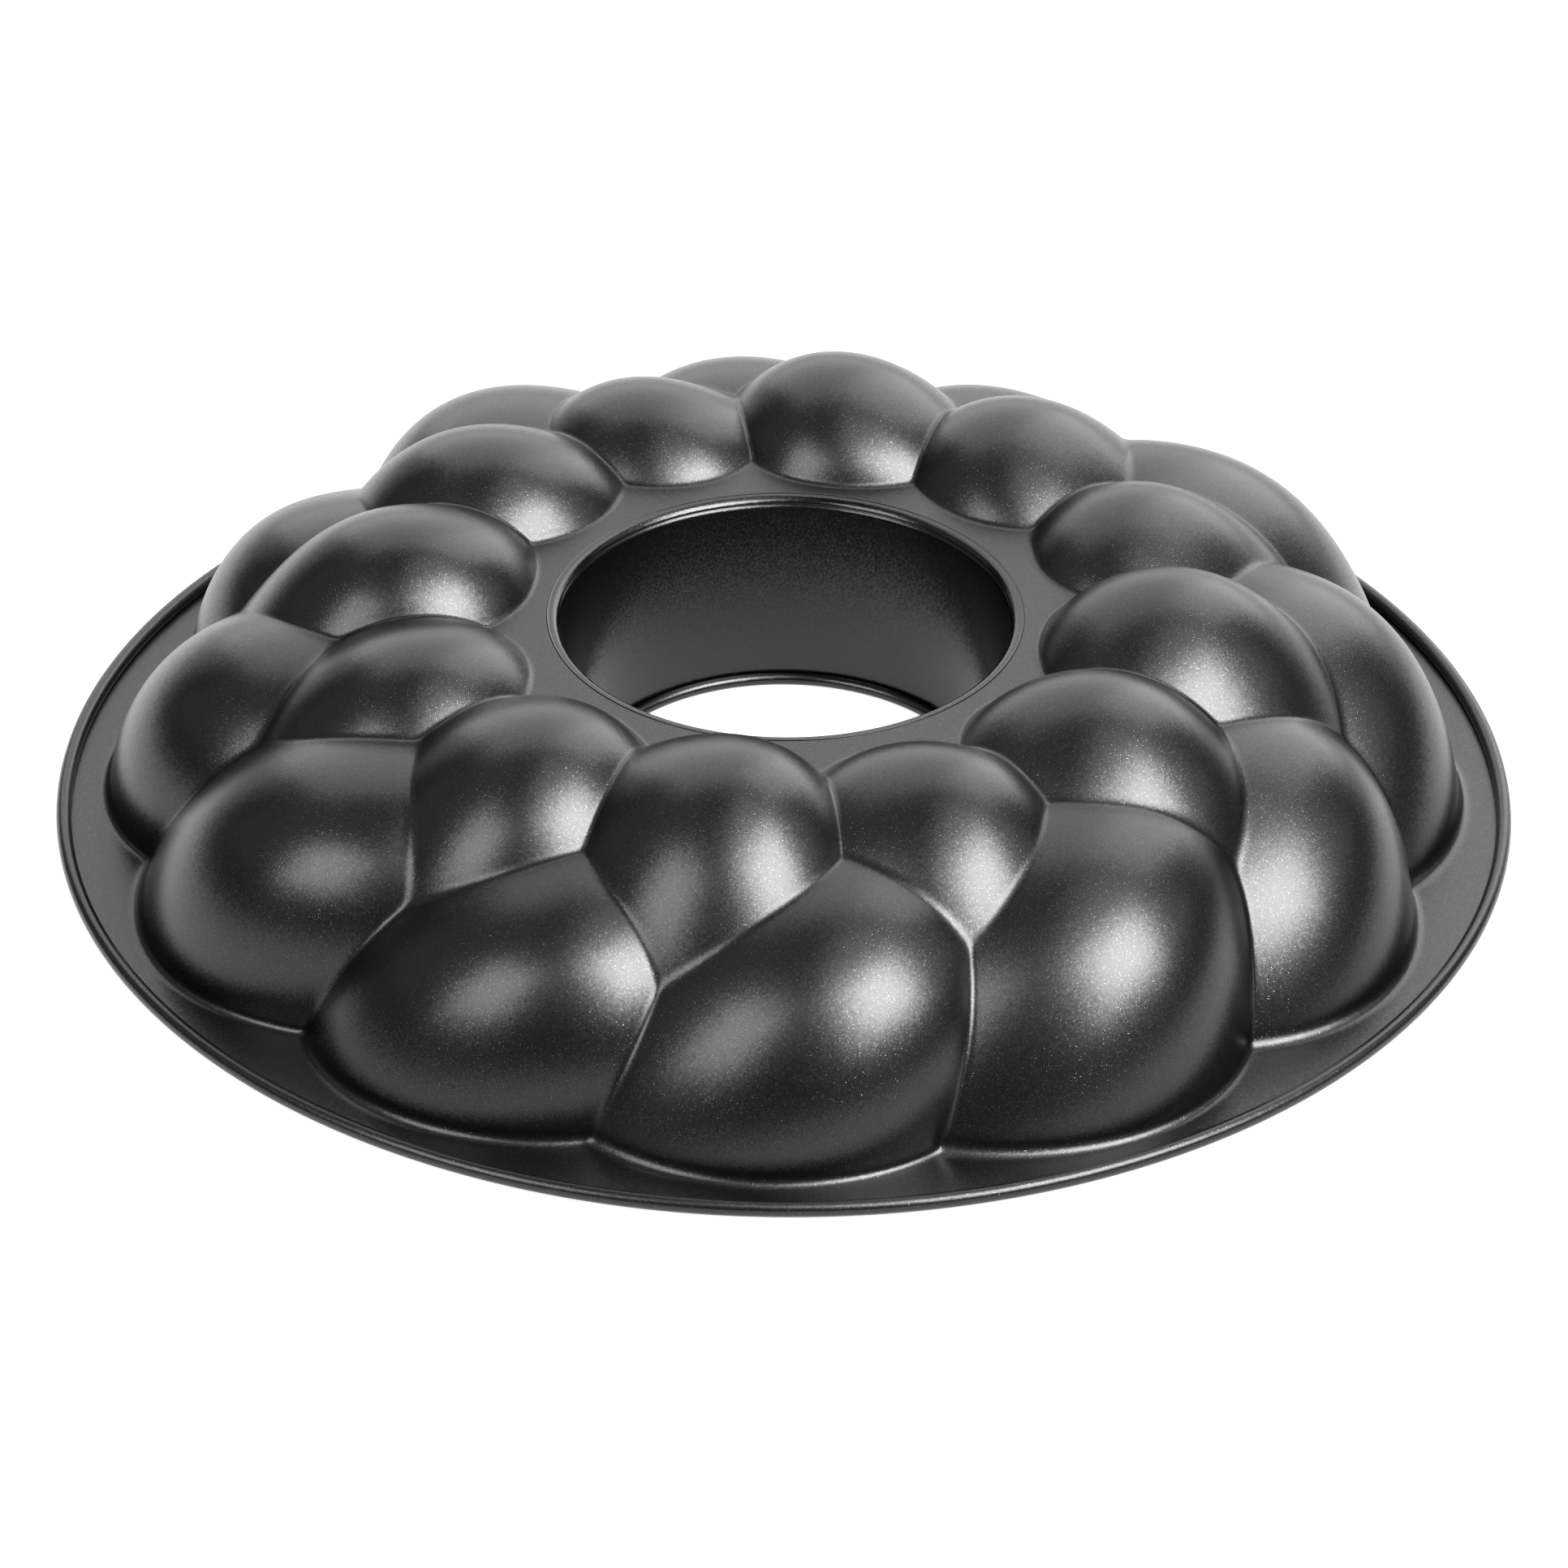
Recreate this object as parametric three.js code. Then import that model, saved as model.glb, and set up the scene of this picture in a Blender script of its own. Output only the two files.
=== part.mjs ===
// Ring cake pan with a braided-wreath form, standing upside down on its rolled rim.
// Millimetres, +Z up, origin on the pan's axis in the plane of the rim.
//
// Three pieces: the deep-drawn body (braid bumps, flat land round the hole, flat
// flange and rolled rim in one sheet), the conical centre tube, whose flange lies flush
// in a sunk seat of the land, and the wire inside the rolled rim.
//
// The braid repeats four times round the pan.  One repeat holds three outer and three
// inner bumps.  Each bump is an egg-shaped solid; the body's outer face is the outside of
// all of them together, with a small fillet in every valley.

import * as THREE from 'three';

// ---------------------------------------------------------------- driving dimensions
const RIM_DIAMETER = 320;        // over the rolled rim
const SHEET = 0.6;               // body sheet thickness
const TUBE_SHEET = 0.5;          // centre tube sheet thickness
const CURL_RADIUS = 1.65;        // outer radius of the rolled rim's section
const CURL_END_DEG = 200;        // the curl runs from -90 degrees (flange) to here
const GAP = 0.3;                 // clearance between touching pieces
const FLANGE_Z = SHEET;          // upper face of the flat flange
const FLANGE_START_R = 155.6;    // flat flange is sampled from here inwards
const LAND_Z = 45.2;             // upper face of the flat land round the hole
const LAND_EDGE_R = 53.2;        // the land runs flat from the inner bumps to here
const SEAT_R = 51.9;             // sunk seat of the tube's flange: its outer edge
const SEAT_DEPTH = 0.8;          // tube sheet plus clearance, so the flange lies flush
const LAND_HOLE_R = 50.9;        // hole cut in the seat
const LAND_LIMIT_R = 70;         // the land ends under the inner bumps
const TUBE_TOP_R = 49.115;        // conical tube wall, inner face, under the lip
const TUBE_TOP_DROP = 2.8;       // and how far that lies below the land
const TUBE_ROLL_R = 43.6;        // rolled edge at the mouth: radius and height of its centre
const TUBE_ROLL_Z = 1.38;
const TUBE_ROLL_RADIUS = 1.12;   // radius of its section, to the middle of the sheet
const FILLET_VALLEY = 1.5;       // fillet between bumps
const FILLET_LAND = 1.0;         // fillet between bumps and land
const FILLET_FLANGE = 2.2;       // fillet between bumps and flange
const REPEATS = 4;               // braid repeats round the pan
const COLUMNS_PER_REPEAT = 27;   // facets round the pan, per repeat
const BUMP_STEPS = 15;           // facets over the bumps, from flange fillet to land
const CREASE_PULL = 8;           // mm of length that one radian of turn counts as, when facets are shared out
const CURL_FACETS_DEG = [-90, -45, 0, 50, 100, 150, CURL_END_DEG];   // facet corners round the rolled rim
const TUBE_SEGMENTS = 72;        // facets round the centre tube
const WIRE_SEGMENTS = 96;        // facets round the rim wire

// Bumps of one repeat.  at: radius, azimuth in degrees, height of the centre.
// semi: half-lengths.  turn: rotation vector in degrees from the radial frame.
// shape: third and fourth degree terms that take the egg away from an ellipsoid.
const OUTER_BUMPS = [
  { at: [100.75, -94.50, -14.13], semi: [49.71, 47.31, 69.91], turn: [40.58, 0.50, -7.99],
    shape: [-0.0292, 0.0197, -0.0210, 0.0253, -0.0037, 0.0143, -0.0023, -0.0157, -0.0041, 0.0030, 0.0231, -0.0158, -0.0104, 0.0033] },
  { at: [108.13, -120.27, -19.24], semi: [40.49, 52.73, 66.88], turn: [15.87, 2.32, -6.10],
    shape: [0.0011, 0.0313, -0.0361, 0.0354, -0.0282, 0.0505, -0.0235, -0.0113, 0.0064, 0.0228, 0.0244, 0.0293, -0.0018, -0.0094] },
  { at: [94.24, -157.85, -20.58], semi: [56.89, 51.00, 78.68], turn: [37.27, -16.42, -8.75],
    shape: [0.0244, 0.0067, -0.0611, 0.0349, 0.0131, -0.0264, -0.0071, -0.0150, 0.0239, -0.0123, -0.0044, -0.0811, 0.0031, 0.0048] },
];
const INNER_BUMPS = [
  { at: [95.34, -99.90, -10.63], semi: [40.39, 43.88, 76.21], turn: [-4.38, 17.31, 14.67],
    shape: [0.0303, -0.0145, -0.0170, 0.0108, -0.0358, 0.0012, 0.0486, -0.0182, -0.0007, 0.0159, 0.0038, -0.0040, 0.0051, -0.0233] },
  { at: [91.43, -131.48, 2.63], semi: [37.92, 44.23, 58.28], turn: [3.95, 20.10, 7.45],
    shape: [0.0148, -0.0026, -0.0086, 0.0181, -0.0244, 0.0341, 0.0102, 0.0052, 0.0017, 0.0045, 0.0263, 0.0196, 0.0040, 0.0145] },
  { at: [94.17, -160.10, 1.22], semi: [35.62, 43.04, 59.56], turn: [3.08, 23.09, -11.22],
    shape: [0.0317, 0.0228, -0.0242, 0.0193, -0.0427, 0.0171, 0.0080, 0.0029, 0.0080, 0.0007, 0.0260, 0.0111, 0.0358, 0.0069] },
];

// The body's outer face is sampled along straight lines that fan out, in each
// meridian plane, from this point below the braid.
const FAN_R = 100;
const FAN_Z = -40;
const FAN_STEPS = 260;

// ---------------------------------------------------------------- materials
const coatedSteel = new THREE.MeshStandardMaterial({ color: 0x2b2b2b, roughness: 0.38, metalness: 0.55 });
const tubeSteel = new THREE.MeshStandardMaterial({ color: 0x272727, roughness: 0.42, metalness: 0.55 });
const wireSteel = new THREE.MeshStandardMaterial({ color: 0x9a9b9c, roughness: 0.35, metalness: 1.0 });

// ---------------------------------------------------------------- bumps
const DEG = Math.PI / 180;

function makeBump({ at, semi, turn, shape }, repeat) {
  const azimuth = at[1] * DEG + repeat * (2 * Math.PI / REPEATS);
  const centre = new THREE.Vector3(at[0] * Math.cos(azimuth), at[0] * Math.sin(azimuth), at[2]);
  const toRadial = new THREE.Matrix4().makeRotationZ(-azimuth);
  const axis = new THREE.Vector3(...turn);
  const angle = axis.length() * DEG;
  const toOwn = new THREE.Matrix4().makeRotationAxis(axis.normalize(), angle).multiply(toRadial);
  const unit = new THREE.Matrix4().makeScale(1 / semi[0], 1 / semi[1], 1 / semi[2]).multiply(toOwn);
  const e = unit.elements;   // column-major
  return { azimuth, centre, shape, m: [e[0], e[4], e[8], e[1], e[5], e[9], e[2], e[6], e[10]] };
}

const bumps = [];
for (let k = 0; k < REPEATS; k++) {
  for (const b of [...OUTER_BUMPS, ...INNER_BUMPS]) bumps.push(makeBump(b, k));
}

// Signed distance, to first order, from a point to one bump's surface.
function bumpDistance(b, px, py, pz) {
  const dx = px - b.centre.x, dy = py - b.centre.y, dz = pz - b.centre.z;
  const m = b.m;
  const ux = m[0] * dx + m[1] * dy + m[2] * dz;
  const uy = m[3] * dx + m[4] * dy + m[5] * dz;
  const uz = m[6] * dx + m[7] * dy + m[8] * dz;
  const n = Math.hypot(ux, uy, uz) || 1e-9;
  const x = ux / n, y = uy / n, z = uz / n;
  const c = b.shape, zz = z * z, xy = x * y, d = x * x - y * y;
  const q5 = 5 * zz - 1, q7 = 7 * zz - 1, q73 = 0.5 * z * (7 * zz - 3);
  const swell = c[0] * 3 * xy * z + c[1] * 1.5 * z * d + c[2] * 0.5 * x * q5 + c[3] * 0.5 * y * q5
    + c[4] * 0.5 * z * (5 * zz - 3) + c[5] * 0.8 * x * (x * x - 3 * y * y) + c[6] * 0.8 * y * (3 * x * x - y * y)
    + c[7] * (35 * zz * zz - 30 * zz + 3) / 8 + c[8] * x * q73 + c[9] * y * q73 + c[10] * 0.4 * d * q7
    + c[11] * 0.8 * xy * q7 + c[12] * (x ** 4 - 6 * x * x * y * y + y ** 4) + c[13] * 4 * xy * d;
  const gx = m[0] * x + m[3] * y + m[6] * z;
  const gy = m[1] * x + m[4] * y + m[7] * z;
  const gz = m[2] * x + m[5] * y + m[8] * z;
  return (n - 1 - swell) / Math.hypot(gx, gy, gz);
}

function filletMin(a, b, k) {
  const h = Math.max(k - Math.abs(a - b), 0) / k;
  return Math.min(a, b) - h * h * k * 0.25;
}

// Distance to the body's outer face: bumps, land and flange together.
function bodyField(px, py, pz) {
  const azimuth = Math.atan2(py, px);
  let g = 1e3;
  for (const b of bumps) {
    let da = Math.abs(azimuth - b.azimuth) % (2 * Math.PI);
    if (da > Math.PI) da = 2 * Math.PI - da;
    if (da < 52 * DEG) g = filletMin(g, bumpDistance(b, px, py, pz), FILLET_VALLEY);
  }
  const land = Math.max(pz - LAND_Z, Math.hypot(px, py) - LAND_LIMIT_R);
  g = filletMin(g, land, FILLET_LAND);
  return filletMin(g, pz - FLANGE_Z, FILLET_FLANGE);
}

function bodyNormal(p) {
  const h = 0.05;
  return new THREE.Vector3(
    bodyField(p.x + h, p.y, p.z) - bodyField(p.x - h, p.y, p.z),
    bodyField(p.x, p.y + h, p.z) - bodyField(p.x, p.y - h, p.z),
    bodyField(p.x, p.y, p.z + h) - bodyField(p.x, p.y, p.z - h)).normalize();
}

// ---------------------------------------------------------------- facet lines of the body
// The facet lines run from flange to land and are drawn together along the valleys, so
// that each valley is followed by facet edges.
const FAN_FROM = Math.atan2(FLANGE_Z - FAN_Z, FLANGE_START_R - FAN_R);
const FAN_TO = Math.atan2(LAND_Z - FAN_Z, LAND_EDGE_R - FAN_R);
const REPEAT_ANGLE = 2 * Math.PI / REPEATS;

function onBody(azimuth, fan) {
  const ca = Math.cos(azimuth), sa = Math.sin(azimuth), dr = Math.cos(fan), dz = Math.sin(fan);
  let rho = 115;
  for (let k = 0; k < 60; k++) {
    const r = FAN_R + rho * dr;
    const g = bodyField(r * ca, r * sa, FAN_Z + rho * dz);
    rho -= 0.8 * g;
    if (Math.abs(g) < 1e-3) break;
  }
  const r = FAN_R + rho * dr;
  return new THREE.Vector3(r * ca, r * sa, FAN_Z + rho * dz);
}

// Lengths of the steps of a line, each lengthened by the turn of the face.
function sharedLength(points) {
  const normals = points.map(bodyNormal);
  return points.slice(1).map((p, i) => Math.hypot(p.distanceTo(points[i]), CREASE_PULL * normals[i + 1].distanceTo(normals[i])));
}

function smoothed(values, reach, wrap) {
  const n = values.length;
  return values.map((_, i) => {
    let sum = 0, weight = 0;
    for (let d = -3 * reach; d <= 3 * reach; d++) {
      const j = wrap ? (i + d + n) % n : Math.min(Math.max(i + d, 0), n - 1);
      const w = Math.exp(-0.5 * (d / reach) ** 2);
      sum += w * values[j];
      weight += w;
    }
    return sum / weight;
  });
}

function running(steps) {
  const out = [0];
  for (const v of steps) out.push(out[out.length - 1] + v);
  return out;
}

// Place on a rising list where it reaches v, as a fractional index.
function placeOf(list, v) {
  let i = 1;
  while (i < list.length - 1 && list[i] < v) i++;
  return i - 1 + (v - list[i - 1]) / (list[i] - list[i - 1] || 1);
}

function valueAt(list, place) {
  const i = Math.min(Math.floor(place), list.length - 2);
  return list[i] + (place - i) * (list[i + 1] - list[i]);
}

const ROUND_SAMPLES = 120, UP_SAMPLES = 66;
const START_AZIMUTH = -Math.PI;
let share = [];
for (let j = 0; j < UP_SAMPLES; j++) {
  const fan = FAN_FROM + (FAN_TO - FAN_FROM) * j / (UP_SAMPLES - 1);
  const line = [];
  for (let i = 0; i <= ROUND_SAMPLES; i++) line.push(onBody(START_AZIMUTH + REPEAT_ANGLE * i / ROUND_SAMPLES, fan));
  share.push(smoothed(sharedLength(line), 1, true));
}
for (let i = 0; i < ROUND_SAMPLES; i++) {
  const up = smoothed(share.map((row) => row[i]), 2, false);
  share.forEach((row, j) => { row[i] = up[j]; });
}
share = share.map(running);
// azimuth of facet line c at each fan angle
const lineAzimuths = [];
for (let c = 0; c < COLUMNS_PER_REPEAT; c++) {
  lineAzimuths.push(share.map((row) => START_AZIMUTH + REPEAT_ANGLE * placeOf(row, row[ROUND_SAMPLES] * c / COLUMNS_PER_REPEAT) / ROUND_SAMPLES));
}

function facetLine(c) {
  const fine = [];
  for (let i = 0; i <= FAN_STEPS; i++) {
    const azimuth = valueAt(lineAzimuths[c], (UP_SAMPLES - 1) * i / FAN_STEPS);
    fine.push(onBody(azimuth, FAN_FROM + (FAN_TO - FAN_FROM) * i / FAN_STEPS));
  }
  fine[0].setZ(FLANGE_Z);
  fine[FAN_STEPS].setZ(LAND_Z);
  // features: toe and top of the flange fillet, foot of the inner bump on the land
  const toe = fine.findIndex((p) => p.z > FLANGE_Z + 0.05) - 1;
  const rise = fine.findIndex((p) => p.z > FLANGE_Z + 2.4);
  let foot = FAN_STEPS;
  while (fine[foot].z < LAND_Z + 0.05) foot--;
  for (let i = 0; i <= toe; i++) fine[i].setZ(FLANGE_Z);
  fine[foot].setZ(LAND_Z);
  const at = (place) => {
    const i = Math.min(Math.floor(place), FAN_STEPS - 1);
    return fine[i].clone().lerp(fine[i + 1], place - i);
  };
  const length = running(smoothed(sharedLength(fine.slice(rise, foot + 1)), 3, false));
  const out = [fine[0], fine[toe], at((toe + rise) / 2)];
  for (let k = 0; k <= BUMP_STEPS; k++) out.push(at(rise + placeOf(length, length[length.length - 1] * k / BUMP_STEPS)));
  out.push(fine[FAN_STEPS]);
  return out;
}

// Rolled rim: two concentric arcs, the inner one first, then the outer one back.
function curl(radius, reverse) {
  const pts = CURL_FACETS_DEG.map((a) => [
    RIM_DIAMETER / 2 - CURL_RADIUS + radius * Math.cos(a * DEG), CURL_RADIUS + radius * Math.sin(a * DEG)]);
  return reverse ? pts.reverse() : pts;
}

function ring(loopAt, columns) {
  // loopAt(i) gives the closed section of column i; neighbouring sections are joined
  const sections = [];
  for (let i = 0; i < columns; i++) sections.push(loopAt(i));
  const n = sections[0].length;
  const position = new Float32Array(columns * n * 3);
  sections.forEach((s, i) => s.forEach((p, j) => p.toArray(position, (i * n + j) * 3)));
  const index = [];
  for (let i = 0; i < columns; i++) {
    const i2 = (i + 1) % columns;
    for (let j = 0; j < n; j++) {
      const j2 = (j + 1) % n;
      const a = i * n + j, b = i2 * n + j, c = i2 * n + j2, d = i * n + j2;
      index.push(a, b, c, a, c, d);
    }
  }
  const g = new THREE.BufferGeometry();
  g.setAttribute('position', new THREE.BufferAttribute(position, 3));
  g.setIndex(index);
  // faces point out: a positive enclosed volume
  let volume = 0;
  const v = (k) => new THREE.Vector3().fromArray(position, k * 3);
  for (let k = 0; k < index.length; k += 3) volume += v(index[k]).dot(v(index[k + 1]).cross(v(index[k + 2])));
  if (volume < 0) for (let k = 0; k < index.length; k += 3) [index[k + 1], index[k + 2]] = [index[k + 2], index[k + 1]];
  g.setIndex(index);
  g.computeVertexNormals();
  return g;
}

// ---------------------------------------------------------------- drawn body
const SEAT_Z = LAND_Z - SEAT_DEPTH;
const columns = REPEATS * COLUMNS_PER_REPEAT;
const quarter = [];
for (let c = 0; c < COLUMNS_PER_REPEAT; c++) {
  const outer = facetLine(c);
  const inner = outer.map((p) => p.clone().addScaledVector(bodyNormal(p), -SHEET));
  // the flange and the land are flat on both faces, and the sheet ends square
  const end = outer.length - 1;
  for (const k of [0, 1, end - 1, end]) inner[k].copy(outer[k]).setZ(outer[k].z - SHEET);
  const swing = (azimuth) => ([r, z]) => new THREE.Vector3(r * Math.cos(azimuth), r * Math.sin(azimuth), z);
  const atRim = swing(Math.atan2(outer[0].y, outer[0].x));
  const atHole = swing(Math.atan2(outer[end].y, outer[end].x));
  // the sunk seat for the tube's flange, down to the edge of the hole
  outer.push(...[[SEAT_R, LAND_Z], [SEAT_R, SEAT_Z], [LAND_HOLE_R, SEAT_Z]].map(atHole));
  inner.push(...[[SEAT_R + SHEET, LAND_Z - SHEET], [SEAT_R + SHEET, SEAT_Z - SHEET], [LAND_HOLE_R, SEAT_Z - SHEET]].map(atHole));
  quarter.push([
    ...outer.slice().reverse(),
    ...curl(CURL_RADIUS - SHEET, false).map(atRim),
    ...curl(CURL_RADIUS, true).map(atRim),
    ...inner,
  ]);
}
const bodyGeometry = ring((i) => {
  const k = Math.floor(i / COLUMNS_PER_REPEAT);
  const spin = new THREE.Matrix4().makeRotationZ(k * 2 * Math.PI / REPEATS);
  return quarter[i % COLUMNS_PER_REPEAT].map((p) => p.clone().applyMatrix4(spin));
}, columns);

// ---------------------------------------------------------------- centre tube
// Both faces of the sheet: flush flange in the seat, round lip, neck and bead under the
// lip, conical wall that narrows towards the mouth, rolled edge at the mouth.  The heads
// give the radius and the depth below the land.
const insideHead = [
  [SEAT_R - GAP, 0], [51.13, 0], [50.7, 0.045], [50.29, 0.18], [49.9, 0.41], [49.6, 0.68], [49.38, 0.98], [49.31, 1.13],
  [49.42, 1.28], [49.62, 1.42], [49.69, 1.62], [49.5, 1.9], [49.3, 2.15], [49.17, 2.46], [TUBE_TOP_R, TUBE_TOP_DROP],
];
const outsideHead = [
  [SEAT_R - GAP, TUBE_SHEET], [51.1, TUBE_SHEET], [50.75, 0.57], [50.6, 0.65], [50.35, 0.85], [50.2, 1.1],
  [50.12, 1.4], [50.1, 1.7], [49.95, 2.05], [49.8, 2.4], [TUBE_TOP_R + TUBE_SHEET, TUBE_TOP_DROP],
];
const roll = (radius) => [0, 35, 70, 105, 140, 175, 210, 245, 280].map((deg) => [
  TUBE_ROLL_R + radius * Math.cos(deg * DEG), TUBE_ROLL_Z - radius * Math.sin(deg * DEG),
]);
const fromLand = ([r, depth]) => [r, LAND_Z - depth];
const tubeSection = [
  ...insideHead.map(fromLand), ...roll(TUBE_ROLL_RADIUS - TUBE_SHEET / 2),
  ...roll(TUBE_ROLL_RADIUS + TUBE_SHEET / 2).reverse(), ...outsideHead.map(fromLand).reverse(),
];
const tubeGeometry = ring((i) => {
  const a = i * 2 * Math.PI / TUBE_SEGMENTS;
  return tubeSection.map(([r, z]) => new THREE.Vector3(r * Math.cos(a), r * Math.sin(a), z));
}, TUBE_SEGMENTS);

// ---------------------------------------------------------------- rim wire
const wireRadius = CURL_RADIUS - SHEET - GAP;
const wireGeometry = ring((i) => {
  const a = i * 2 * Math.PI / WIRE_SEGMENTS;
  const section = [];
  for (let j = 0; j < 6; j++) {
    const r = RIM_DIAMETER / 2 - CURL_RADIUS + wireRadius * Math.cos(j * Math.PI / 3);
    section.push(new THREE.Vector3(r * Math.cos(a), r * Math.sin(a), CURL_RADIUS + wireRadius * Math.sin(j * Math.PI / 3)));
  }
  return section;
}, WIRE_SEGMENTS);

// ---------------------------------------------------------------- assembly
const pan = new THREE.Group();
pan.name = 'ring_cake_pan';

const panBody = new THREE.Mesh(bodyGeometry, coatedSteel);
panBody.name = 'pan_body';
const centreTube = new THREE.Mesh(tubeGeometry, tubeSteel);
centreTube.name = 'centre_tube';
const rimWire = new THREE.Mesh(wireGeometry, wireSteel);
rimWire.name = 'rim_wire';

pan.add(panBody, centreTube, rimWire);

export default pan;
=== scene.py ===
import math

import bpy
import numpy as np
from mathutils import Matrix, Vector


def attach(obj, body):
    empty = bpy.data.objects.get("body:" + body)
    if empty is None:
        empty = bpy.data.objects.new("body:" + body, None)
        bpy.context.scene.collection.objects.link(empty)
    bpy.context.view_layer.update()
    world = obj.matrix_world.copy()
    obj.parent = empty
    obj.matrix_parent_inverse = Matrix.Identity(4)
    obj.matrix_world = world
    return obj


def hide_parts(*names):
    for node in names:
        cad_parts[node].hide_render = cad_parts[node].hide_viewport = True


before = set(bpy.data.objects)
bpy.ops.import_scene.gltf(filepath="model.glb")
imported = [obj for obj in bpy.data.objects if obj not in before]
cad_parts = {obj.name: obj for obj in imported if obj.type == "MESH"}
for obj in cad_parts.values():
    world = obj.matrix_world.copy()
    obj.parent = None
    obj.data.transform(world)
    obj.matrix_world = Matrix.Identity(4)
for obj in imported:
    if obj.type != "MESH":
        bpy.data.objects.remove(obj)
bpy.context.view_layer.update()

MM = 0.001
DEG = math.pi / 180.0

# ------------------------------------------------------------------ driving dimensions, mm
RIM_R = 160.0            # outside of the rolled rim
SHEET = 0.6              # body sheet
CURL_R = 1.65            # outer radius of the curl's section
CURL_END = 200.0         # the curl runs from -90 degrees to here
FLANGE_Z = SHEET
FLANGE_R = 155.6
LAND_Z = 45.2
LAND_EDGE_R = 53.2       # the land runs flat from the inner bumps to here
SEAT_R = 51.9            # sunk seat of the tube's flange
SEAT_Z = LAND_Z - 0.8
HOLE_R = 50.9
LAND_LIMIT_R = 70.0
FILLET_VALLEY = 0.9
FILLET_LAND = 0.9
FILLET_FLANGE = 2.2
FAN_R, FAN_Z = 100.0, -40.0
COLS = 144               # mesh columns in one quarter
ROWS = 160               # mesh rows on the outer face
TUBE_SEGS = 240

# The braid: three outer and three inner bumps, repeated four times round the pan.
# radius, azimuth, height of the centre; half-lengths; rotation vector in degrees; shape terms
BUMPS = [
    ((100.75, -94.50, -14.13), (49.71, 47.31, 69.91), (40.58, 0.50, -7.99),
     (-0.0292, 0.0197, -0.0210, 0.0253, -0.0037, 0.0143, -0.0023, -0.0157, -0.0041, 0.0030, 0.0231, -0.0158, -0.0104, 0.0033)),
    ((108.13, -120.27, -19.24), (40.49, 52.73, 66.88), (15.87, 2.32, -6.10),
     (0.0011, 0.0313, -0.0361, 0.0354, -0.0282, 0.0505, -0.0235, -0.0113, 0.0064, 0.0228, 0.0244, 0.0293, -0.0018, -0.0094)),
    ((94.24, -157.85, -20.58), (56.89, 51.00, 78.68), (37.27, -16.42, -8.75),
     (0.0244, 0.0067, -0.0611, 0.0349, 0.0131, -0.0264, -0.0071, -0.0150, 0.0239, -0.0123, -0.0044, -0.0811, 0.0031, 0.0048)),
    ((95.34, -99.90, -10.63), (40.39, 43.88, 76.21), (-4.38, 17.31, 14.67),
     (0.0303, -0.0145, -0.0170, 0.0108, -0.0358, 0.0012, 0.0486, -0.0182, -0.0007, 0.0159, 0.0038, -0.0040, 0.0051, -0.0233)),
    ((91.43, -131.48, 2.63), (37.92, 44.23, 58.28), (3.95, 20.10, 7.45),
     (0.0148, -0.0026, -0.0086, 0.0181, -0.0244, 0.0341, 0.0102, 0.0052, 0.0017, 0.0045, 0.0263, 0.0196, 0.0040, 0.0145)),
    ((94.17, -160.10, 1.22), (35.62, 43.04, 59.56), (3.08, 23.09, -11.22),
     (0.0317, 0.0228, -0.0242, 0.0193, -0.0427, 0.0171, 0.0080, 0.0029, 0.0080, 0.0007, 0.0260, 0.0111, 0.0358, 0.0069)),
]


# ------------------------------------------------------------------ the body's outer face
def turn_matrix(v):
    a = np.linalg.norm(v)
    if a < 1e-9:
        return np.eye(3)
    k = v / a
    K = np.array([[0, -k[2], k[1]], [k[2], 0, -k[0]], [-k[1], k[0], 0]])
    return np.eye(3) + math.sin(a) * K + (1 - math.cos(a)) * (K @ K)


def spin(a):
    return np.array([[math.cos(a), -math.sin(a), 0], [math.sin(a), math.cos(a), 0], [0, 0, 1.0]])


bumps = []
for q in (-1, 0, 1):
    for at, semi, turn, shape in BUMPS:
        az = at[1] * DEG
        own = np.diag(1 / np.array(semi)) @ turn_matrix(np.array(turn) * DEG) @ spin(-az)
        centre = np.array([at[0] * math.cos(az), at[0] * math.sin(az), at[2]])
        R = spin(-math.pi / 2 * q)
        bumps.append((R @ centre, own @ R.T, shape, az - math.pi / 2 * q))


def bump_distance(P, centre, M, c):
    m = (P - centre) @ M.T
    n = np.sqrt((m * m).sum(1))
    u = m / n[:, None]
    x, y, z = u.T
    zz = z * z
    q5, q7, q73 = 5 * zz - 1, 7 * zz - 1, z * (7 * zz - 3) * 0.5
    xy, d = x * y, x * x - y * y
    s = (c[0] * 3 * xy * z + c[1] * 1.5 * z * d + c[2] * 0.5 * x * q5 + c[3] * 0.5 * y * q5
         + c[4] * 0.5 * z * (5 * zz - 3) + c[5] * 0.8 * x * (x * x - 3 * y * y) + c[6] * 0.8 * y * (3 * x * x - y * y)
         + c[7] * (35 * zz * zz - 30 * zz + 3) / 8 + c[8] * x * q73 + c[9] * y * q73 + c[10] * 0.4 * d * q7
         + c[11] * 0.8 * xy * q7 + c[12] * (x ** 4 - 6 * x * x * y * y + y ** 4) + c[13] * 4 * xy * d)
    g = u @ M
    return (n - 1 - s) / np.sqrt((g * g).sum(1))


def fillet_min(a, b, k):
    h = np.maximum(k - np.abs(a - b), 0) / k
    return np.minimum(a, b) - h * h * k * 0.25


def body_field(P):
    th = np.arctan2(P[:, 1], P[:, 0])
    G = np.full(len(P), 1e3)
    for centre, M, shape, az in bumps:
        near = np.abs((th - az + math.pi) % (2 * math.pi) - math.pi) < 52 * DEG
        if near.any():
            G[near] = fillet_min(G[near], bump_distance(P[near], centre, M, shape), FILLET_VALLEY)
    r = np.hypot(P[:, 0], P[:, 1])
    G = fillet_min(G, np.maximum(P[:, 2] - LAND_Z, r - LAND_LIMIT_R), FILLET_LAND)
    return fillet_min(G, P[:, 2] - FLANGE_Z, FILLET_FLANGE)


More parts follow.
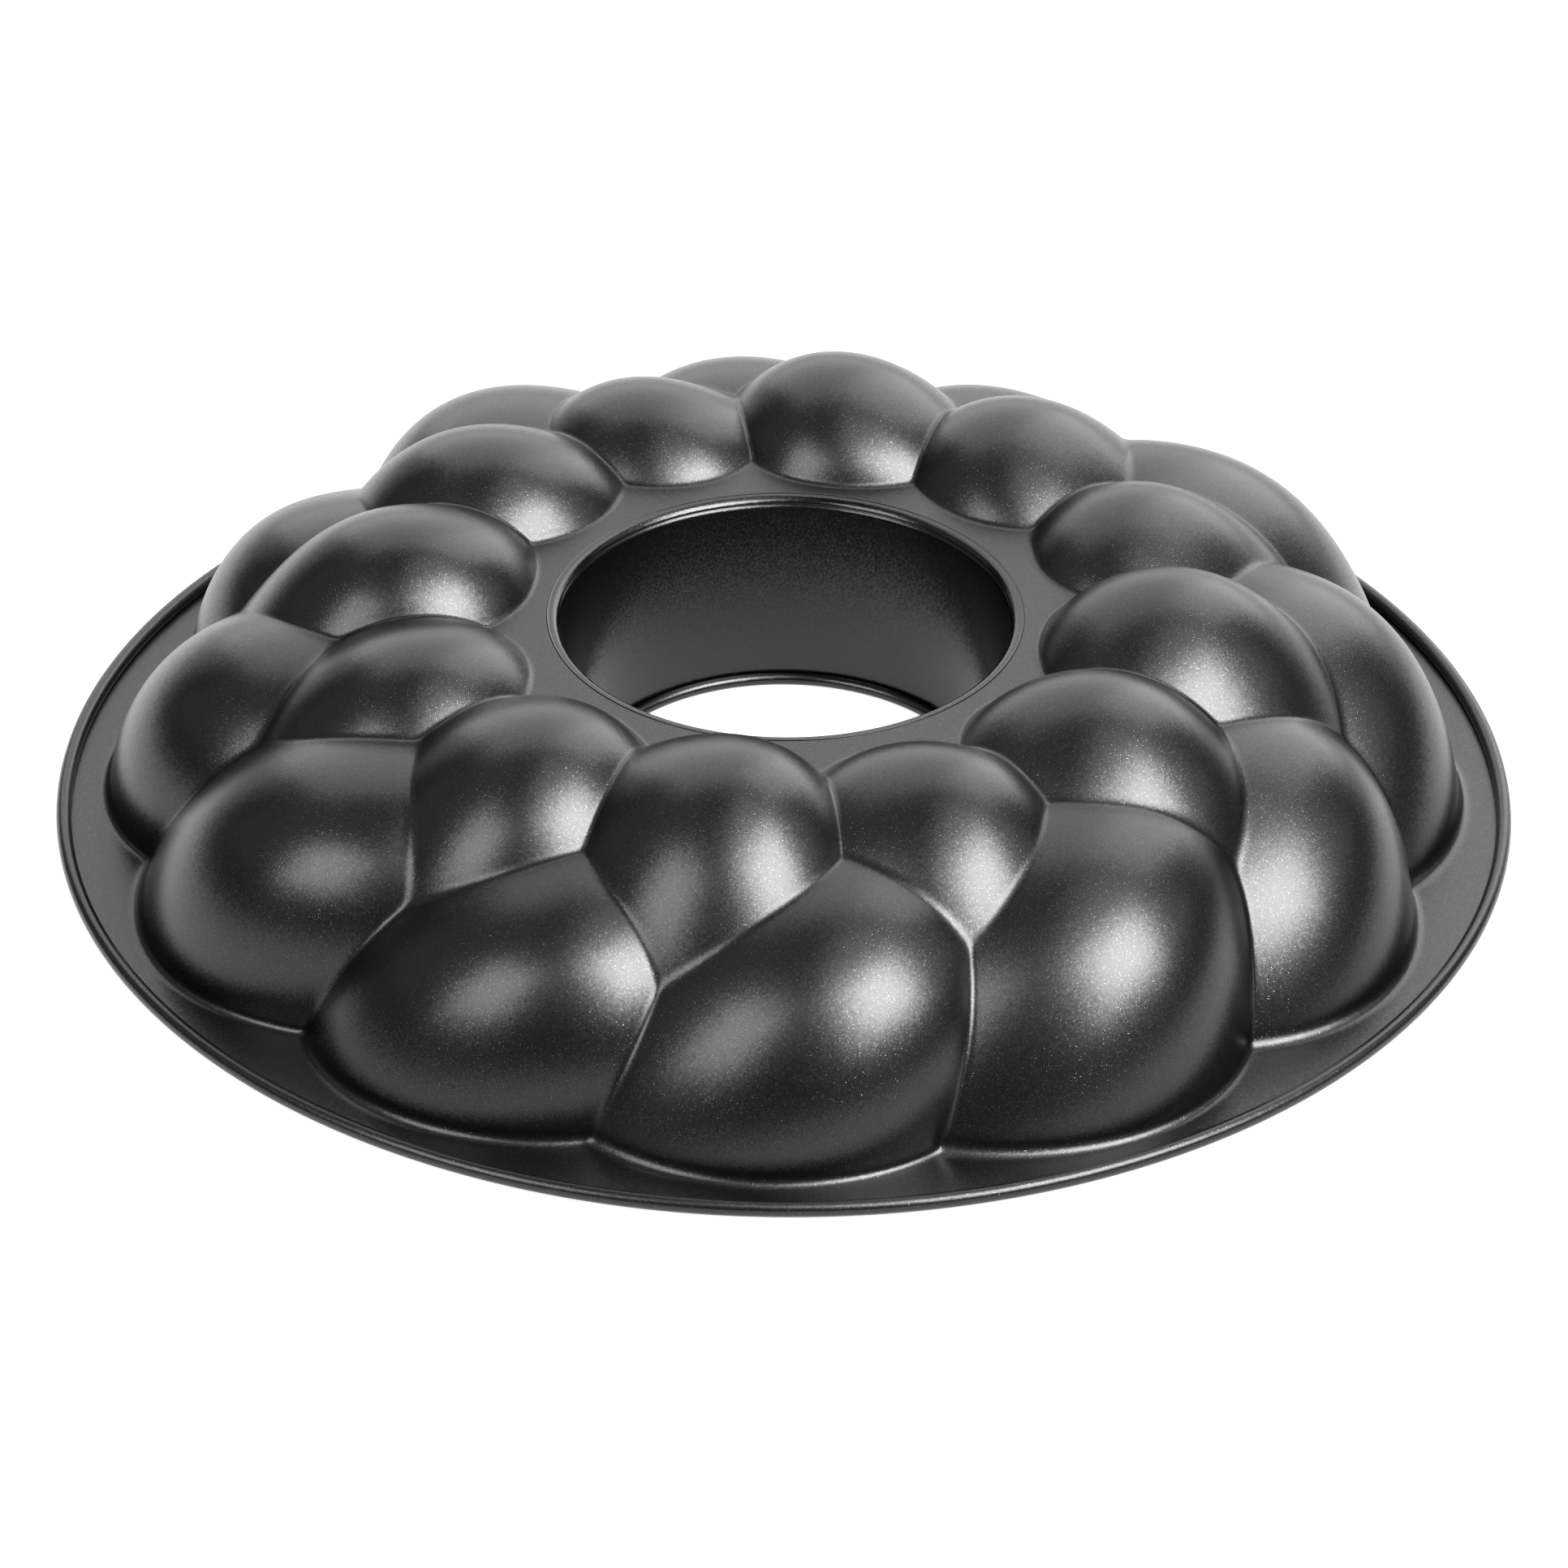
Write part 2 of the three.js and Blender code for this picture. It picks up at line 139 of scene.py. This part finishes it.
def body_normal(P, h=0.04):
    g = np.stack([body_field(P + h * e) - body_field(P - h * e) for e in np.eye(3)], 1)
    return g / np.linalg.norm(g, axis=1)[:, None]


def on_body(th, fan):
    """Points where the fan lines (azimuth th, fan angle fan) meet the outer face."""
    shape = th.shape
    th, fan = th.ravel(), fan.ravel()
    dr, dz, ct, st = np.cos(fan), np.sin(fan), np.cos(th), np.sin(th)
    rho = np.full(len(th), 115.0)
    for _ in range(60):
        r = FAN_R + rho * dr
        P = np.stack([r * ct, r * st, FAN_Z + rho * dz], 1)
        g = body_field(P)
        rho -= 0.8 * g
        if np.abs(g).max() < 1e-3:
            break
    r = FAN_R + rho * dr
    return np.stack([r * ct, r * st, FAN_Z + rho * dz], 1).reshape(shape + (3,))


def blur(a, s, axis, wrap):
    k = np.exp(-0.5 * (np.arange(-3 * s, 3 * s + 1) / s) ** 2)
    k /= k.sum()
    pad = [(0, 0)] * a.ndim
    pad[axis] = (3 * s, 3 * s)
    b = np.pad(a, pad, mode="wrap" if wrap else "edge")
    return np.apply_along_axis(lambda v: np.convolve(v, k, mode="valid"), axis, b)


FAN0 = math.atan2(FLANGE_Z - FAN_Z, FLANGE_R - FAN_R)
FAN1 = math.atan2(LAND_Z - FAN_Z, LAND_EDGE_R - FAN_R)


def body_grid():
    """Mesh points of one quarter, drawn together along the valleys and fillets."""
    nt, nf = 240, 230
    th = np.linspace(-math.pi, -math.pi / 2, nt + 1)
    fan = np.linspace(FAN0, FAN1, nf)
    T, F = np.meshgrid(th, fan, indexing="ij")
    P = on_body(T, F)
    N = body_normal(P.reshape(-1, 3)).reshape(P.shape)
    # columns: equal shares of length weighted by how fast the face turns, row by row
    ds = np.linalg.norm(np.diff(P, axis=0), axis=2)
    dn = np.linalg.norm(np.diff(N, axis=0), axis=2)
    w = np.sqrt(1 + (8.0 * dn / ds) ** 2) * ds
    w = blur(blur(w, 2, 0, True), 3, 1, False)
    W = np.vstack([np.zeros((1, nf)), np.cumsum(w, axis=0)])
    share = np.linspace(0, 1, COLS + 1)
    Tc = np.stack([np.interp(share * W[-1, j], W[:, j], th) for j in range(nf)], 1)
    Pc = on_body(Tc, np.broadcast_to(fan, Tc.shape))
    Nc = body_normal(Pc.reshape(-1, 3)).reshape(Pc.shape)
    # rows: the same along each column
    ds = np.linalg.norm(np.diff(Pc, axis=1), axis=2)
    dn = np.linalg.norm(np.diff(Nc, axis=1), axis=2)
    w = np.sqrt(1 + (8.0 * dn / ds) ** 2) * ds
    w = blur(w, 2, 1, False)
    w[:-1] = blur(w[:-1], 2, 0, True)
    w[-1] = w[0]
    W = np.hstack([np.zeros((COLS + 1, 1)), np.cumsum(w, axis=1)])
    share = np.linspace(0, 1, ROWS)
    Fr = np.stack([np.interp(share * W[i, -1], W[i], fan) for i in range(COLS + 1)], 0)
    Tr = np.stack([np.interp(Fr[i], fan, Tc[i]) for i in range(COLS + 1)], 0)
    Q = on_body(Tr, Fr)[:COLS]
    Q[:, 0, 2] = FLANGE_Z
    Q[:, -1, 2] = LAND_Z
    return Q, body_normal(Q.reshape(-1, 3)).reshape(Q.shape)


def ring_mesh(name, sections):
    """Closed ring from closed sections, sections[i][j] = point j of section i, in mm."""
    n, m, _ = sections.shape
    i = np.arange(n)[:, None]
    j = np.arange(m)[None, :]
    a = i * m + j
    b = ((i + 1) % n) * m + j
    c = ((i + 1) % n) * m + (j + 1) % m
    d = i * m + (j + 1) % m
    quads = np.stack([a, b, c, d], 2).reshape(-1, 4)
    V = sections.reshape(-1, 3)
    t = V[quads]
    vol = np.einsum("ij,ij->i", t[:, 0], np.cross(t[:, 1], t[:, 2])).sum() + np.einsum("ij,ij->i", t[:, 0], np.cross(t[:, 2], t[:, 3])).sum()
    if vol < 0:
        quads = quads[:, ::-1]
    me = bpy.data.meshes.new(name)
    me.from_pydata((V * MM).tolist(), [], quads.tolist())
    me.polygons.foreach_set("use_smooth", np.ones(len(me.polygons), dtype=bool))
    me.set_sharp_from_angle(angle=52 * DEG)
    me.update()
    ob = bpy.data.objects.new(name, me)
    bpy.context.scene.collection.objects.link(ob)
    return ob


def arc(cx, cz, r, a0, a1, n):
    a = np.linspace(a0, a1, n) * DEG
    return np.stack([cx + r * np.cos(a), cz + r * np.sin(a)], 1)


# sunk seat round the hole, upper face and underside, from the land to the hole's edge
SEAT_TOP = [(52.3, LAND_Z), (52.0, LAND_Z), (51.94, LAND_Z - 0.02), (51.9, LAND_Z - 0.08), (SEAT_R, SEAT_Z + 0.1),
            (51.87, SEAT_Z + 0.03), (51.8, SEAT_Z), (51.0, SEAT_Z), (HOLE_R, SEAT_Z)]
SEAT_UNDER = [(52.65, LAND_Z - SHEET), (52.54, LAND_Z - SHEET - 0.03), (52.5, LAND_Z - SHEET - 0.1), (52.5, SEAT_Z - SHEET + 0.1),
              (52.46, SEAT_Z - SHEET + 0.03), (52.4, SEAT_Z - SHEET), (HOLE_R, SEAT_Z - SHEET)]


def swept(rz, edge):
    """Section rz (radius, height) placed in the meridian of every point of edge."""
    rz = np.array(rz, float)
    az = np.arctan2(edge[:, 1], edge[:, 0])
    return np.stack([rz[None, :, 0] * np.cos(az)[:, None], rz[None, :, 0] * np.sin(az)[:, None],
                     np.broadcast_to(rz[None, :, 1], (len(az), len(rz)))], 2)


def build_body():
    Q, N = body_grid()
    inner = Q - SHEET * N
    for k in (0, ROWS - 1):
        inner[:, k] = Q[:, k]
        inner[:, k, 2] -= SHEET
    keep = np.unique(np.r_[np.arange(0, ROWS, 3), ROWS - 1])
    inner = inner[:, keep]
    cx, cz = RIM_R - CURL_R, CURL_R
    small = arc(cx, cz, CURL_R - SHEET, -90, CURL_END, 22)
    large = arc(cx, cz, CURL_R, -90, CURL_END, 26)[::-1]
    # the sampled azimuths of the flange's and the land's edges carry on into rim and seat
    rim = swept(np.vstack([small, large]), Q[:, 0])
    seat = swept(SEAT_TOP, Q[:, -1])
    under = swept(SEAT_UNDER, Q[:, -1])
    quarter = np.concatenate([seat[:, ::-1], Q[:, ::-1], rim, inner, under], axis=1)
    return ring_mesh("pan_body_skin", np.concatenate([quarter @ spin(math.pi / 2 * k).T for k in range(4)], axis=0))


# ------------------------------------------------------------------ centre tube
def smooth_line(pts, n):
    """Catmull-Rom through the points, n pieces per span."""
    p = np.array(pts, float)
    p = np.vstack([2 * p[0] - p[1], p, 2 * p[-1] - p[-2]])
    out = []
    for i in range(1, len(p) - 2):
        a, b, c, d = p[i - 1], p[i], p[i + 1], p[i + 2]
        # centripetal knots keep the tight turns free of overshoot
        t0 = 0.0
        t1 = t0 + max(np.linalg.norm(b - a), 1e-6) ** 0.5
        t2 = t1 + max(np.linalg.norm(c - b), 1e-6) ** 0.5
        t3 = t2 + max(np.linalg.norm(d - c), 1e-6) ** 0.5
        for t in np.linspace(t1, t2, n, endpoint=False):
            A1 = (t1 - t) / (t1 - t0) * a + (t - t0) / (t1 - t0) * b
            A2 = (t2 - t) / (t2 - t1) * b + (t - t1) / (t2 - t1) * c
            A3 = (t3 - t) / (t3 - t2) * c + (t - t2) / (t3 - t2) * d
            B1 = (t2 - t) / (t2 - t0) * A1 + (t - t0) / (t2 - t0) * A2
            B2 = (t3 - t) / (t3 - t1) * A2 + (t - t1) / (t3 - t1) * A3
            out.append((t2 - t) / (t2 - t1) * B1 + (t - t1) / (t2 - t1) * B2)
    out.append(p[-2])
    return np.array(out)


TUBE_SHEET = 0.5
TUBE_WALL = (49.115, 42.4)           # inner face of the conical wall, top
ROLL_AT, ROLL_Z = 43.6, 1.38         # centre of the rolled edge at the mouth
ROLL_R = 1.12                        # its radius, to the middle of the sheet
# flush flange, round lip, neck, bead under the lip, conical wall, rolled edge
TUBE_IN = [(51.86, -0.1), (51.86, 0.02), (51.82, 0.1), (51.74, 0.13), (51.62, 0.09), (51.48, 0.03), (51.3, 0), (51.13, 0), (50.84, -0.02),
           (50.56, -0.08), (50.29, -0.18), (50.04, -0.31), (49.81, -0.48), (49.6, -0.68), (49.42, -0.91), (49.345, -1.04),
           (49.31, -1.13), (49.33, -1.2), (49.42, -1.28), (49.58, -1.38), (49.67, -1.5), (49.7, -1.63), (49.66, -1.76),
           (49.5, -1.9), (49.355, -2.075), (49.24, -2.27), (49.165, -2.48), (49.127, -2.68)]
TUBE_OUT = [(51.86, -0.42), (51.8, -0.5), (51.1, -0.5), (50.75, -0.57), (50.6, -0.65), (50.35, -0.85), (50.2, -1.1),
            (50.12, -1.4), (50.1, -1.7), (49.95, -2.05), (49.8, -2.4)]


def tube_face(head, off):
    """One face of the tube's sheet: head (heights from the land), wall, roll; off moves it to the other face."""
    foot = ROLL_AT + ROLL_R - TUBE_SHEET / 2 + off
    top = TUBE_WALL[0] + off
    line = [(r, LAND_Z + z) for r, z in head]
    line += [(top + (foot - top) * (TUBE_WALL[1] - z) / (TUBE_WALL[1] - ROLL_Z), z) for z in (TUBE_WALL[1], 40, 34, 26, 18, 10, 5, 3, 2)]
    return line + [(ROLL_AT + (foot - ROLL_AT) * math.cos(a * DEG), ROLL_Z - (foot - ROLL_AT) * math.sin(a * DEG)) for a in range(0, 281, 20)]


def build_tube():
    sec = np.vstack([smooth_line(tube_face(TUBE_IN, 0.0), 4), smooth_line(tube_face(TUBE_OUT, TUBE_SHEET), 4)[::-1]])
    a = np.arange(TUBE_SEGS) * 2 * math.pi / TUBE_SEGS
    S = np.stack([sec[None, :, 0] * np.cos(a)[:, None], sec[None, :, 0] * np.sin(a)[:, None],
                  np.broadcast_to(sec[None, :, 1], (TUBE_SEGS, len(sec)))], 2)
    return ring_mesh("centre_tube_skin", S)


# ------------------------------------------------------------------ rim wire
def build_wire():
    rz = arc(RIM_R - CURL_R, CURL_R, CURL_R - SHEET - 0.3, 0, 360, 13)[:-1]
    n = 240
    a = np.arange(n) * 2 * math.pi / n
    S = np.stack([rz[None, :, 0] * np.cos(a)[:, None], rz[None, :, 0] * np.sin(a)[:, None],
                  np.broadcast_to(rz[None, :, 1], (n, len(rz)))], 2)
    return ring_mesh("rim_wire_skin", S)


# ------------------------------------------------------------------ materials
class Nodes:
    def __init__(self, name):
        self.mat = bpy.data.materials.new(name)
        self.mat.use_nodes = True
        self.tree = self.mat.node_tree
        self.tree.nodes.clear()
        self.out = self.add("ShaderNodeOutputMaterial")

    def add(self, kind, **props):
        n = self.tree.nodes.new(kind)
        for k, v in props.items():
            setattr(n, k, v)
        return n

    def link(self, a, b):
        self.tree.links.new(a, b)

    def math(self, op, a, b, clamp=False):
        n = self.add("ShaderNodeMath", operation=op, use_clamp=clamp)
        for s, v in zip(n.inputs, (a, b)):
            if isinstance(v, (int, float)):
                s.default_value = v
            else:
                self.link(v, s)
        return n.outputs[0]

    def span(self, v, a, b, c, d):
        n = self.add("ShaderNodeMapRange")
        n.clamp = True
        self.link(v, n.inputs["Value"])
        for k, x in zip(("From Min", "From Max", "To Min", "To Max"), (a, b, c, d)):
            n.inputs[k].default_value = x
        return n.outputs["Result"]

    def noise(self, vec, scale, detail=2.0, rough=0.5):
        n = self.add("ShaderNodeTexNoise")
        n.inputs["Scale"].default_value = scale
        n.inputs["Detail"].default_value = detail
        n.inputs["Roughness"].default_value = rough
        self.link(vec, n.inputs["Vector"])
        return n.outputs["Fac"]

    def cells(self, vec, scale):
        n = self.add("ShaderNodeTexVoronoi", feature="F1", voronoi_dimensions="3D")
        n.inputs["Scale"].default_value = scale
        self.link(vec, n.inputs["Vector"])
        return n

    def vector(self, kind, a, b=None):
        n = self.add("ShaderNodeVectorMath", operation=kind)
        self.link(a, n.inputs[0])
        if isinstance(b, (int, float)):
            n.inputs["Scale"].default_value = b
        elif isinstance(b, tuple):
            n.inputs[1].default_value = b
        elif b is not None:
            self.link(b, n.inputs["Scale"] if kind == "SCALE" else n.inputs[1])
        return n.outputs["Vector"]

    def mix(self, fac, a, b):
        n = self.add("ShaderNodeMix", data_type="RGBA")
        for name, v in (("Factor", fac), ("A", a), ("B", b)):
            sock = [s for s in n.inputs if s.name == name and s.type == ("VALUE" if name == "Factor" else "RGBA")][0]
            if isinstance(v, tuple):
                sock.default_value = v
            else:
                self.link(v, sock)
        return [s for s in n.outputs if s.type == "RGBA"][0]


def grey(v, warm=0.0):
    return (v * (1 + warm), v, v * (1 - warm), 1.0)


def coating(name, dark, light, rough_lo, rough_hi, lean_by, shine, polished=None):
    """Satin dark non-stick coating: near-black film, fine grain, metal flakes set in it."""
    k = Nodes(name)
    co = k.add("ShaderNodeTexCoord").outputs["Object"]
    cloud = k.noise(co, 55.0, 3.0, 0.55)
    grain = k.noise(co, 1500.0, 2.0, 0.6)
    tone = k.mix(k.span(cloud, 0.3, 0.7, 0.0, 1.0), grey(dark), grey(light))
    # grain: every small patch of the film leans a little its own way
    patch = k.cells(co, 2900.0)
    # flakes: a few of the cells of a second pattern, only near the cell's middle
    cells = k.cells(co, 4000.0)
    pick = k.add("ShaderNodeSeparateColor")
    k.link(cells.outputs["Color"], pick.inputs["Color"])
    near = k.math("LESS_THAN", cells.outputs["Distance"], 0.24)
    some = k.math("GREATER_THAN", pick.outputs["Red"], 0.74)
    flake = k.math("MULTIPLY", near, some)
    tone = k.mix(flake, tone, grey(shine))
    lean = k.vector("SUBTRACT", patch.outputs["Color"], (0.5, 0.5, 0.5))
    lean = k.vector("SCALE", lean, lean_by)
    tilt = k.vector("SUBTRACT", cells.outputs["Color"], (0.85, 0.5, 0.5))
    lean = k.vector("ADD", lean, k.vector("SCALE", tilt, k.math("MULTIPLY", flake, 0.45)))
    face = k.add("ShaderNodeNewGeometry").outputs["Normal"]
    face = k.vector("NORMALIZE", k.vector("ADD", face, lean))
    b = k.add("ShaderNodeBsdfPrincipled")
    b.inputs["IOR"].default_value = 1.5
    k.link(tone, b.inputs["Base Color"])
    k.link(flake, b.inputs["Metallic"])
    rough = k.span(grain, 0.3, 0.7, rough_lo, rough_hi)
    if polished:
        # the crimping tool left the lip smoother: from one height to the other
        z = k.add("ShaderNodeSeparateXYZ")
        k.link(co, z.inputs[0])
        lip = k.span(z.outputs["Z"], polished[0], polished[1], 0.0, 1.0)
        rough = k.math("SUBTRACT", rough, k.math("MULTIPLY", lip, rough_lo - polished[2]))
    k.link(rough, b.inputs["Roughness"])
    k.link(face, b.inputs["Normal"])
    k.link(b.outputs[0], k.out.inputs["Surface"])
    return k.mat


def drawn_wire(name):
    """Bare drawn steel wire with fine draw lines and dull spots."""
    k = Nodes(name)
    co = k.add("ShaderNodeTexCoord").outputs["Object"]
    lines = k.noise(co, 2600.0, 3.0, 0.6)
    spots = k.noise(co, 160.0, 3.0, 0.6)
    tone = k.mix(k.span(spots, 0.35, 0.7, 0.0, 1.0), grey(0.52), grey(0.36, 0.03))
    bump = k.add("ShaderNodeBump")
    bump.inputs["Strength"].default_value = 0.15
    bump.inputs["Distance"].default_value = 0.0001
    k.link(lines, bump.inputs["Height"])
    b = k.add("ShaderNodeBsdfPrincipled")
    b.inputs["Metallic"].default_value = 1.0
    k.link(tone, b.inputs["Base Color"])
    k.link(k.span(spots, 0.3, 0.7, 0.28, 0.45), b.inputs["Roughness"])
    k.link(bump.outputs["Normal"], b.inputs["Normal"])
    k.link(b.outputs[0], k.out.inputs["Surface"])
    return k.mat


body_mat = coating("coated_steel_satin", 0.0004, 0.0009, 0.28, 0.33, 0.05, 0.16)
# painted shade: the tube gets a darker copy of the coating, with dimmer flakes, standing in for the shade inside the
# hole
tube_mat_painted_shade = coating("coated_tube_satin_painted_shade", 0.0003, 0.0007, 0.22, 0.26, 0.05, 0.08, (0.0432, 0.0436, 0.17))
wire_mat = drawn_wire("drawn_wire_steel")

# ------------------------------------------------------------------ pieces
body = build_body()
body.data.materials.append(body_mat)
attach(body, "root")
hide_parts("pan_body")

tube = build_tube()
tube.data.materials.append(tube_mat_painted_shade)
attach(tube, "root")
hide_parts("centre_tube")

wire = build_wire()
wire.data.materials.append(wire_mat)
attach(wire, "root")
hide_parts("rim_wire")

# ------------------------------------------------------------------ floor
me = bpy.data.meshes.new("floor")
me.from_pydata([(-8, -8, -0.0002), (8, -8, -0.0002), (8, 8, -0.0002), (-8, 8, -0.0002)], [], [(0, 1, 2, 3)])
floor = bpy.data.objects.new("floor", me)
bpy.context.scene.collection.objects.link(floor)
floor_mat = bpy.data.materials.new("floor_pale")
floor_mat.use_nodes = True
fb = floor_mat.node_tree.nodes["Principled BSDF"]
fb.inputs["Base Color"].default_value = (0.26, 0.26, 0.26, 1)
fb.inputs["Emission Color"].default_value = (1, 1, 1, 1)
fb.inputs["Emission Strength"].default_value = 0.86
fb.inputs["Roughness"].default_value = 0.9
fb.inputs["Specular IOR Level"].default_value = 0.1
me.materials.append(floor_mat)


# ------------------------------------------------------------------ light
def soft(name, az, el, dist, wide, high, radiance, aim=(0, 0, 0.03)):
    """Softbox seen from the pan at azimuth az (0 = towards the camera, + = right) and elevation el."""
    L = bpy.data.lights.new(name, "AREA")
    L.shape = "RECTANGLE"
    L.size, L.size_y = wide, high
    L.energy = radiance * math.pi * wide * high
    o = bpy.data.objects.new(name, L)
    a, e = az * DEG, el * DEG
    p = Vector((math.sin(a) * math.cos(e), -math.cos(a) * math.cos(e), math.sin(e))) * dist
    o.location = p + Vector(aim)
    o.rotation_euler = (Vector(aim) - o.location).to_track_quat("-Z", "Y").to_euler()
    o.visible_camera = False
    bpy.context.scene.collection.objects.link(o)
    return o


soft("key_right", 50.5, 49, 2.0, 1.16, 1.06, 13.8)
soft("key_right_edge", 49.5, 49.5, 2.05, 1.74, 1.68, 8.0)
soft("fill_left", -49, 41, 2.0, 1.0, 1.12, 6.8)
soft("back_wall", 175, 35, 1.6, 2.1, 1.85, 1.84)
soft("back_low", 178, 7, 1.6, 3.7, 0.5, 0.2)
soft("back_right", 149, 33, 1.7, 0.85, 1.6, 1.55)
soft("back_left_low", -146, 12, 1.7, 0.5, 0.9, 0.42)
soft("back_right_low", 137, 6, 1.7, 0.5, 0.7, 0.58)
soft("overhead", 80, 75, 2.0, 1.4, 1.1, 1.8)
soft("right_room", 97, 36, 2.0, 1.0, 1.0, 0.75)
soft("left_room", -104, 45, 2.0, 1.35, 2.2, 0.30)

world = bpy.data.worlds.new("studio")
world.use_nodes = True
world.node_tree.nodes["Background"].inputs[0].default_value = (1, 1, 1, 1)
world.node_tree.nodes["Background"].inputs[1].default_value = 0.03
bpy.context.scene.world = world
bpy.context.scene.view_settings.view_transform = "Standard"

# ------------------------------------------------------------------ camera
F_PX, FRAME_PX = 7934.74, 1932.0
pitch, yaw, roll = 32.753 * DEG, -0.0402 * DEG, -0.4277 * DEG
r = np.array([math.cos(yaw), math.sin(yaw), 0])
fwd = np.array([-math.sin(yaw) * math.cos(pitch), math.cos(yaw) * math.cos(pitch), -math.sin(pitch)])
dn = np.cross(fwd, r)
right = math.cos(roll) * r + math.sin(roll) * dn
down = -math.sin(roll) * r + math.cos(roll) * dn
cam = bpy.data.cameras.new("camera")
cam.sensor_width = 36.0
cam.sensor_fit = "HORIZONTAL"
cam.lens = 36.0 * F_PX / FRAME_PX
cam.clip_end = 100
cob = bpy.data.objects.new("camera", cam)
m = Matrix.Identity(4)
for i in range(3):
    m[i][0], m[i][1], m[i][2] = right[i], -down[i], -fwd[i]
m[0][3], m[1][3], m[2][3] = -0.000867, -1.196757, 0.770852
cob.matrix_world = m
bpy.context.scene.collection.objects.link(cob)
bpy.context.scene.camera = cob

# ------------------------------------------------------------------ scene update
bpy.context.view_layer.update()
